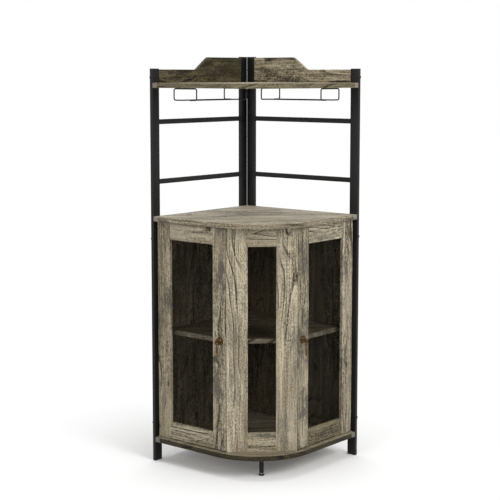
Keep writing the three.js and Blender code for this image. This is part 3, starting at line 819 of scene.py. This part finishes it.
knot_brown = (0.05, 0.036, 0.020)
# The left board's much darker print (0.2) is partly painted shadow and partly dark knots and stain
gallery_cuts = {
    "left": ((3.0, 0.0, 0.6), 0.2, 1.4, 1.2, 1.8, knot_brown),
    "right": ((5.0, 0.0, 1.6), 0.88, 1.2, 1.2, 1.4, knot_brown),
}
gallery_prints = {
    side: oak_print(f"oak on the {side} gallery", f"{side} wall, level", *cut)
    for side, cut in gallery_cuts.items()
}
gallery = cut_block("left_gallery_board", (-frame_thick, 0), gallery_run, (gallery_bottom, gallery_low))
begin_shaping(gallery)
for end in slope_ends:
    cut_across((0, end, 0), (0, 1, 0))
pick_faces(gallery, lambda middle, normal: normal.z > 0.9 and middle.y > slope_ends[1])
bpy.ops.transform.translate(value=(0, 0, gallery_high - gallery_low))


def is_slope_end(middle, run):
    from_slope = min(abs(middle.y - end) for end in slope_ends)
    return run.x > 0.9 and middle.z > gallery_low - 1e-4 and from_slope < 1e-4


pick_edges(gallery, is_slope_end)
round_picked(slope_round, 8)
end_shaping()
ease_edges(gallery, gallery_ease, 2, 50)
smooth_curved_faces(gallery, 30)
stand_on_left_wall(gallery)
dress_both_sides(gallery, "cabinet", gallery_prints, "oak", "left_gallery")

# Fixed middle panel
# Two stiles mitred to meet the doors and two rails between them, screwed to the boards.
# A rebate round the window, open to the back, holds the pane.
door_thick = 0.015
panel_face_y = corner_y - 0.501012
panel_level = (0.0763, 0.7517)
panel_rail = 0.0575
panel_half_front = 0.106396
panel_half_back = 0.100183
panel_window = (-0.042596, 0.042596)
rail_joint = 0.0001
rebate_lap = 0.008
rebate_depth = 0.005
member_ease = 0.0006


def frame_members(start, stop, window, level, rail):
    """Widths and heights of the two stiles and two rails round a window."""
    low, high = level
    between_stiles = (window[0] + rail_joint, window[1] - rail_joint)
    return [
        ((start, window[0]), level),
        ((window[1], stop), level),
        (between_stiles, (high - rail, high)),
        (between_stiles, (low, low + rail)),
    ]


def shape_member(name, x, z, depth, window, window_level, mitres=()):
    """A stile or rail with its part of the rebate, and the mitre at one of its edges."""
    member = cut_block(name, x, depth, z)
    for front, back in mitres:
        begin_shaping(member)
        pick(member, "VERT", lambda point: abs(point.co.x - front) < 1e-4 and point.co.y > depth[1] - 1e-4)
        bpy.ops.transform.translate(value=(back - front, 0, 0))
        end_shaping()
    rebate = cut_block(
        "rebate_cutter",
        (window[0] - rebate_lap, window[1] + rebate_lap),
        (depth[1] - rebate_depth, depth[1] + 0.002),
        (window_level[0] - rebate_lap, window_level[1] + rebate_lap),
    )
    cut_away(member, rebate)
    ease_edges(member, member_ease)
    return member


panel_depth = (panel_face_y, panel_face_y + door_thick)
panel_window_level = (panel_level[0] + panel_rail, panel_level[1] - panel_rail)
panel_cuts = {
    "left_stile": ((0.35, 0.02, 0.15),),
    "right_stile": ((1.52, 0.01, 2.05),),
    "top_rail": ((1.1, 0.0, 3.1), 1.06, 1.0, 1.0, 0.6),
    "bottom_rail": ((2.75, 0.0, 5.2), 0.86, 1.8),
}
panel_mitres = {
    "left_stile": [(-panel_half_front, -panel_half_back)],
    "right_stile": [(panel_half_front, panel_half_back)],
}
panel_members = frame_members(-panel_half_front, panel_half_front, panel_window, panel_level, panel_rail)
for (place, cut), (x, z) in zip(panel_cuts.items(), panel_members):
    name = f"centre_{place}_oak"
    mitres = panel_mitres.get(place, ())
    member = shape_member(name, x, z, panel_depth, panel_window, panel_window_level, mitres)
    lie = "front, upright" if "stile" in place else "front, level"
    member_print = oak_print(f"oak on the middle panel's {place.replace('_', ' ')}", lie, *cut)
    dress(member, "cabinet", member_print, "oak", f"centre_{place}")

# Doors
# Each door has two stiles and two rails of the same board, and its free edge is mitred
# to the middle panel. The pane lies in a rebate behind.
door_face_run = 0.430
door_level = (0.079, 0.749)
door_start = 0.0025
door_window = (0.0535, 0.226835)
door_end_front = 0.277835
door_end_back = 0.271622
door_rail = 0.051

door_depth = (-door_face_run, -door_face_run + door_thick)
door_window_level = (door_level[0] + door_rail, door_level[1] - door_rail)
door_cuts = {
    "outer_stile": (((0.9, 0.0, 0.4), 0.86, 2.2, 1.2), ((2.1, 0.01, 1.3), 1.12, 1.8, 1.0)),
    "inner_stile": (((3.4, 0.0, 0.2), 0.96, 2.2, 1.0), ((4.6, 0.0, 1.1), 0.87, 2.2, 1.2)),
    "top_rail": (((5.8, 0.02, 2.4), 1.05, 1.0, 0.8), ((7.1, 0.0, 3.3), 1.12, 1.2, 1.3)),
    # The right door's bottom rail has a darker print (0.5), which is partly painted shade
    "bottom_rail": (((8.2, 0.0, 4.6), 1.0, 1.2, 1.7), ((9.4, 0.0, 5.5), 0.5, 1.2, 1.2)),
}
door_members = frame_members(door_start, door_end_front, door_window, door_level, door_rail)
for (place, cuts), (x, z) in zip(door_cuts.items(), door_members):
    name = f"left_door_{place}_oak"
    mitres = [(door_end_front, door_end_back)] if place == "inner_stile" else ()
    member = shape_member(name, x, z, door_depth, door_window, door_window_level, mitres)
    stand_on_left_wall(member)
    prints = {}
    for side, cut in zip(("left", "right"), cuts):
        lie = f"{side} door, {'level' if 'rail' in place else 'upright'}"
        prints[side] = oak_print(f"oak on the {side} door's {place.replace('_', ' ')}", lie, *cut)
    dress_both_sides(member, "left_door", prints, "oak", f"left_door_{place}")

# Panes
# Clear float glass, 4 mm, in the rebates of the doors and the middle panel. Light passes
# through it, and it shows a film of dust and a grey tint. The tint is deeper than clear
# glass has, and partly paints the shade inside the cupboard.


def clear_pane(name):
    material, surface = new_material(name)
    tree = material.node_tree
    film = noise(own_place(tree), 9.0, 5.0, 0.65)
    fill(
        surface,
        Base_Color=(0.70, 0.68, 0.69, 1),
        Transmission_Weight=1.0,
        IOR=1.05,
        Roughness=between(film, 0.4, 0.75, 0.005, 0.03),
    )
    ray = add_node(tree, "ShaderNodeLightPath").outputs
    through = add_node(tree, "ShaderNodeBsdfTransparent", Color=(0.7, 0.72, 0.71, 1))
    passed = work("MAXIMUM", ray["Is Shadow Ray"], ray["Is Diffuse Ray"])
    mixed = add_node(tree, "ShaderNodeMixShader", Fac=passed)
    give(mixed.inputs[1], surface.outputs[0])
    give(mixed.inputs[2], through.outputs[0])
    output = next(node for node in tree.nodes if node.type == "OUTPUT_MATERIAL")
    give(output.inputs["Surface"], mixed.outputs[0])
    return material


float_glass = clear_pane("clear float glass")
for node in ("left_door_glass", "right_door_glass", "centre_glass"):
    finish_node(node, float_glass)

# Hinges and catches
# Offset pivot hinges of plated steel lie in the narrow gaps over and under each door.
# Small magnetic catches of black plastic hang under the counter.
for side in ("left", "right"):
    for place in ("top", "bottom"):
        finish_node(f"{side}_{place}_hinge_fixed_leaf", zinc)
        finish_node(f"{side}_{place}_hinge_door_leaf", zinc)
    finish_node(f"{side}_magnetic_catch", black_plastic)

# Drop pulls
# Cast brass with a dark antique finish: a round rosette with a beaded rim and a stud,
# and a drop that swings on the stud's cross pin.
pull_place = (0.254835, -door_face_run, 0.412)
rosette_radius = 0.012
stud_reach = 0.014
bead_circle = 0.0108
cross_pin_radius = 0.0011
cross_pin_length = 0.0126
eye_place = 0.0044
drop_length = 0.048


def antique_brass(name, patina_color, worn_color, worn_from):
    """Dark patina in the hollows, worn yellow brass on the high spots."""
    material, surface = new_material(name)
    surface.inputs["Metallic"].default_value = 1.0
    patina = noise(own_place(material.node_tree), 300.0, 5.0, 0.65)
    tone = two_tones(patina, patina_color, worn_color, worn_from, worn_from + 0.22)
    lay_finish(surface, tone, between(patina, 0.0, 1.0, 0.5, 0.22), patina, 0.6, 0.00012)
    return material


def turn_piece(name, steps, sides=32):
    """Turns a piece about the vertical from (radius, height) steps. Its ends are flat."""
    radius, height = steps[0]
    bpy.ops.mesh.primitive_circle_add(
        vertices=sides, radius=radius, fill_type="NGON", location=(0, 0, height)
    )
    piece = bpy.context.object
    piece.name = name
    settle(piece)
    begin_shaping(piece)
    bpy.ops.mesh.select_all(action="SELECT")
    for (radius, height), (next_radius, next_height) in zip(steps, steps[1:]):
        push_picked((0, 0, next_height - height))
        grow = next_radius / radius
        bpy.ops.transform.resize(value=(grow, grow, 1), center_override=(0, 0, next_height))
    bpy.ops.mesh.select_all(action="SELECT")
    bpy.ops.mesh.normals_make_consistent(inside=False)
    end_shaping()
    return piece


def copies_at(piece, places):
    """Puts a copy of a small piece at each place, and takes the piece itself away."""
    copies = []
    for place in places:
        copy = copy_piece(piece, piece.name)
        copy.location = place
        copies.append(settle(copy))
    bpy.data.objects.remove(piece)
    return copies


def join_to(piece, *others):
    take(piece)
    for other in others:
        other.select_set(True)
    bpy.ops.object.join()


def hang_pull(piece, body, brass, node):
    """Moves a piece made about the stud's axis to the left door, and copies it to the right."""
    smooth_curved_faces(piece, 40)
    piece.location = pull_place
    settle(piece)
    stand_on_left_wall(piece)
    dress_both_sides(piece, body, brass, "aged_brass", node)


# The rosette is turned upright and then laid so that its axis points out of the door
rosette = turn_piece("left_pull_plate", [
    (rosette_radius, 0.0001), (rosette_radius, 0.0012), (0.0117, 0.0017), (0.0108, 0.0018),
    (0.0102, 0.0014), (0.0092, 0.0014), (0.0086, 0.0022), (0.0068, 0.0031), (0.0046, 0.0036),
    (0.0032, 0.0040), (0.0025, 0.0050), (0.0023, 0.0064), (0.0023, 0.0100), (0.0028, 0.0118),
    (0.0032, 0.0137), (0.0030, 0.0155), (0.0022, 0.0167), (0.0008, 0.0172),
])
bpy.ops.mesh.primitive_ico_sphere_add(subdivisions=2, radius=0.00095)
bead_turns = [math.radians(15 * number) for number in range(24)]
beads = copies_at(bpy.context.object, [
    (bead_circle * math.cos(turn), bead_circle * math.sin(turn), 0.0019) for turn in bead_turns
])
cross_pin = add_cylinder(
    "cross_pin", 20, cross_pin_radius, cross_pin_length, (0, 0, stud_reach), (0, quarter_turn, 0)
)
begin_shaping(cross_pin)
pick_faces(cross_pin, lambda middle, normal: abs(normal.x) > 0.9)
round_picked(0.0003, 2)
end_shaping()
join_to(rosette, cross_pin, *beads)
rosette.rotation_euler.x = quarter_turn
settle(rosette)
dark_brass = antique_brass("dark brass of the rosettes", (0.035, 0.018, 0.007), (0.38, 0.23, 0.075), 0.49)
hang_pull(rosette, "left_door", dark_brass, "left_pull_rosette")

# The drop: a turned teardrop under a small yoke with two eyes
drop = turn_piece("left_pull_drop", [
    (0.0005, -drop_length), (0.0014, -0.0475), (0.0022, -0.0456), (0.0027, -0.0434), (0.0026, -0.0411),
    (0.0020, -0.0392), (0.0016, -0.0381), (0.0022, -0.0371), (0.0030, -0.0345), (0.0035, -0.0312),
    (0.0034, -0.0280), (0.0030, -0.0240), (0.0024, -0.0195), (0.0019, -0.0158), (0.0017, -0.0138),
    (0.0024, -0.0131), (0.0027, -0.0120), (0.0024, -0.0109), (0.0017, -0.0102), (0.0018, -0.0094),
    (0.0028, -0.0083),
], 28)
yoke = cut_block("yoke", (-0.00525, 0.00525), (-0.0028, 0.0028), (-0.0083, -0.0066))
begin_shaping(yoke)
for cut in (-0.0036, 0.0036):
    cut_across((cut, 0, 0), (1, 0, 0))
pick_faces(yoke, lambda middle, normal: normal.z > 0.9 and abs(middle.x) > 0.0037)
push_picked((0, 0, 0.0066))
end_shaping()
ease_edges(yoke, 0.0004)
bpy.ops.mesh.primitive_torus_add(
    major_radius=0.0023, minor_radius=0.00085, major_segments=28, minor_segments=12,
    rotation=(0, quarter_turn, 0),
)
eyes = copies_at(settle(bpy.context.object), [(-eye_place, 0, 0), (eye_place, 0, 0)])
join_to(drop, yoke, *eyes)
drop.location.y = -stud_reach
settle(drop)
worn_brass = antique_brass("worn brass of the drops", (0.035, 0.020, 0.008), (0.24, 0.145, 0.05), 0.42)
hang_pull(drop, "left_pull", worn_brass, "left_pull_pendant")

# Racks for stemmed glasses
# Each rack is one closed steel wire, bent twelve times and coated black. Two lower runs
# leave a slot for the stems, and the upper runs are fixed under the top shelf.
wire_radius = 0.002
rack_front = -0.418
rack_back = -0.188
rack_sides = (0.0645, 0.1555)
slot_sides = (0.0955, 0.1245)
rack_top = 1.1547
rack_low = 1.1207
wire_bend = 0.006

bends = [
    (rack_sides[0], rack_front, rack_top), (rack_sides[1], rack_front, rack_top),
    (rack_sides[1], rack_front, rack_low), (slot_sides[1], rack_front, rack_low),
    (slot_sides[1], rack_back, rack_low), (rack_sides[1], rack_back, rack_low),
    (rack_sides[1], rack_back, rack_top), (rack_sides[0], rack_back, rack_top),
    (rack_sides[0], rack_back, rack_low), (slot_sides[0], rack_back, rack_low),
    (slot_sides[0], rack_front, rack_low), (rack_sides[0], rack_front, rack_low),
]
bpy.ops.mesh.primitive_plane_add(size=0.01)
wire = bpy.context.object
wire.name = "left_rack_wire"
begin_shaping(wire)
bpy.ops.mesh.select_mode(type="VERT")
bpy.ops.mesh.select_all(action="SELECT")
bpy.ops.mesh.merge(type="CENTER")
bpy.ops.transform.translate(value=bends[0])
for bend, next_bend in zip(bends, bends[1:]):
    push_picked(Vector(next_bend) - Vector(bend))
pick(wire, "VERT", lambda point: len(point.link_edges) == 1)
bpy.ops.mesh.edge_face_add()
bpy.ops.mesh.select_all(action="SELECT")
bpy.ops.mesh.bevel(offset=wire_bend, segments=6, affect="VERTICES")
end_shaping()
bpy.ops.object.convert(target="CURVE")
wire.data.bevel_depth = wire_radius
wire.data.bevel_resolution = 4
bpy.ops.object.convert(target="MESH")
wire = bpy.context.object
smooth_curved_faces(wire, 60)
stand_on_left_wall(wire)
wire_coat = coated_steel("black coated wire", (0.007, 0.0065, 0.0065), 0.42, 0.00003)
dress_both_sides(wire, "cabinet", wire_coat, "black_wire", "left_glass_rack")

# Front leg and glide
# A steel tube welded to a small plate under the bottom board, and a moulded glide on a
# threaded stem that screws in and out of it.
leg_y = corner_y - 0.489796
leg_radius = 0.007
leg_low = 0.0086
plate_half = 0.019
plate_low = 0.0587
plate_top = 0.0607
plate_corner = 0.006
screw_offset = 0.0135
stem_foot = 0.00505
thread_start = 0.0052
thread_pitch = 0.0018

leg = cut_block(
    "front_leg_tube",
    (-plate_half, plate_half),
    (leg_y - plate_half, leg_y + plate_half),
    (plate_low, plate_top),
)
begin_shaping(leg)
pick_edges(leg, lambda middle, run: run.z > 0.9)
round_picked(plate_corner, 6)
end_shaping()
ease_edges(leg, 0.0004)
tube = turn_piece("tube", [
    (0.0033, 0.043), (0.0033, leg_low), (leg_radius - 0.0004, leg_low), (leg_radius, leg_low + 0.0004),
    (leg_radius, 0.0555), (leg_radius + 0.0006, 0.0570), (leg_radius + 0.0018, 0.0590),
])
tube.location.y = leg_y
settle(tube)
screw = turn_piece("screw", [
    (0.0030, plate_low + 0.0002), (0.0031, plate_low - 0.0004), (0.0024, plate_low - 0.0012),
    (0.0010, plate_low - 0.0016),
], 20)
offsets = (-screw_offset, screw_offset)
screws = copies_at(screw, [(x, leg_y + y, 0) for x in offsets for y in offsets])
join_to(leg, tube, *screws)
smooth_curved_faces(leg, 40)
dress(leg, "cabinet", black_coat, "black_steel", "front_leg")

ridge_profile = ((0.0026, 0.0), (0.0030, 0.0006), (0.0030, 0.0009), (0.0026, 0.0015))
thread = []
for ridge in range(16):
    start = thread_start + ridge * thread_pitch
    thread += [(radius, start + rise) for radius, rise in ridge_profile]
glide = turn_piece("levelling_glide_foot", [
    (0.0060, 0.0), (0.0078, 0.0), (0.0084, 0.0004), (0.00875, 0.0012), (0.00875, 0.0036), (0.0084, 0.0045),
    (0.0074, 0.0050), (0.0028, 0.0050), *thread, (0.0024, 0.0346), (0.0014, 0.0350),
])
lay_two_finishes(glide, black_plastic, zinc, lambda face: face.center.z > stem_foot)
glide.location.y = leg_y
settle(glide)
smooth_curved_faces(glide, 40)
dress(glide, "levelling_glide", black_plastic, "black_plastic", "levelling_glide")

# Floor, light and camera
# A pale floor that keeps the soft shadow, a plain white surround and three soft lamps.
# The camera stands at the height of the top shelf and looks a little down.
white = (1.0, 1.0, 1.0, 1)
black = (0.0, 0.0, 0.0, 1)
pale_grey = (0.6, 0.6, 0.6, 1)
shadow_reach = (0.32, 0.85)
surround_light = 0.45


def seen_directly(tree):
    """Is 1 for what the camera sees itself, in a reflection or through a pane."""
    ray = add_node(tree, "ShaderNodeLightPath").outputs
    seen = work("MAXIMUM", ray["Is Camera Ray"], ray["Is Glossy Ray"])
    return work("MAXIMUM", seen, ray["Is Transmission Ray"])


floor_material, floor_surface = new_material("pale floor")
tree = floor_material.node_tree
seen = seen_directly(tree)
away = add_node(tree, "ShaderNodeVectorMath", operation="LENGTH")
give(away.inputs[0], own_place(tree))
glow = between(away.outputs["Value"], *shadow_reach, 0.05, 1.0)
fill(
    floor_surface,
    Roughness=0.9,
    Specular_IOR_Level=0.1,
    Base_Color=blend(seen, pale_grey, blend(glow, white, black)),
    Emission_Color=white,
    Emission_Strength=work("MULTIPLY", glow, seen),
)
bpy.ops.mesh.primitive_plane_add(size=40, location=(0, 0, -0.0002))
floor = bpy.context.object
floor.name = "pale_floor"
floor.data.materials.append(floor_material)

world = bpy.data.worlds.new("white surround")
bpy.context.scene.world = world
world.use_nodes = True
tree = world.node_tree
tree.nodes.clear()
strength = add_node(tree, "ShaderNodeMix", data_type="FLOAT", Factor=seen_directly(tree))
fill(strength, A=surround_light, B=1.0)
surround = add_node(tree, "ShaderNodeBackground", Color=white, Strength=strength.outputs["Result"])
add_node(tree, "ShaderNodeOutputWorld", Surface=surround.outputs[0])


def soft_lamp(name, place, size, power):
    """A round soft lamp that points at the middle of the cabinet."""
    data = bpy.data.lights.new(name, "AREA")
    data.shape = "DISK"
    data.size = size
    data.energy = power
    lamp = bpy.data.objects.new(name, data)
    bpy.context.scene.collection.objects.link(lamp)
    lamp.location = place
    lamp.rotation_euler = (Vector((0, 0, 0.6)) - Vector(place)).to_track_quat("-Z", "Y").to_euler()


soft_lamp("key", (2.4, -3.2, 3.0), 2.2, 120)
soft_lamp("fill", (-2.8, -3.0, 1.8), 2.6, 50)
soft_lamp("top", (0.0, 0.3, 4.0), 2.5, 60)

camera_data = bpy.data.cameras.new("camera")
camera_data.lens = 92.9
camera_data.sensor_width = 36
camera_data.shift_y = -0.05
camera = bpy.data.objects.new("camera", camera_data)
bpy.context.scene.collection.objects.link(camera)
camera.location = (-0.37639, -3.96715, 1.19946)
camera.rotation_euler = (math.radians(90 - 6.6868), 0, math.radians(-5.2075))
bpy.context.scene.camera = camera
bpy.context.scene.view_settings.view_transform = "Standard"
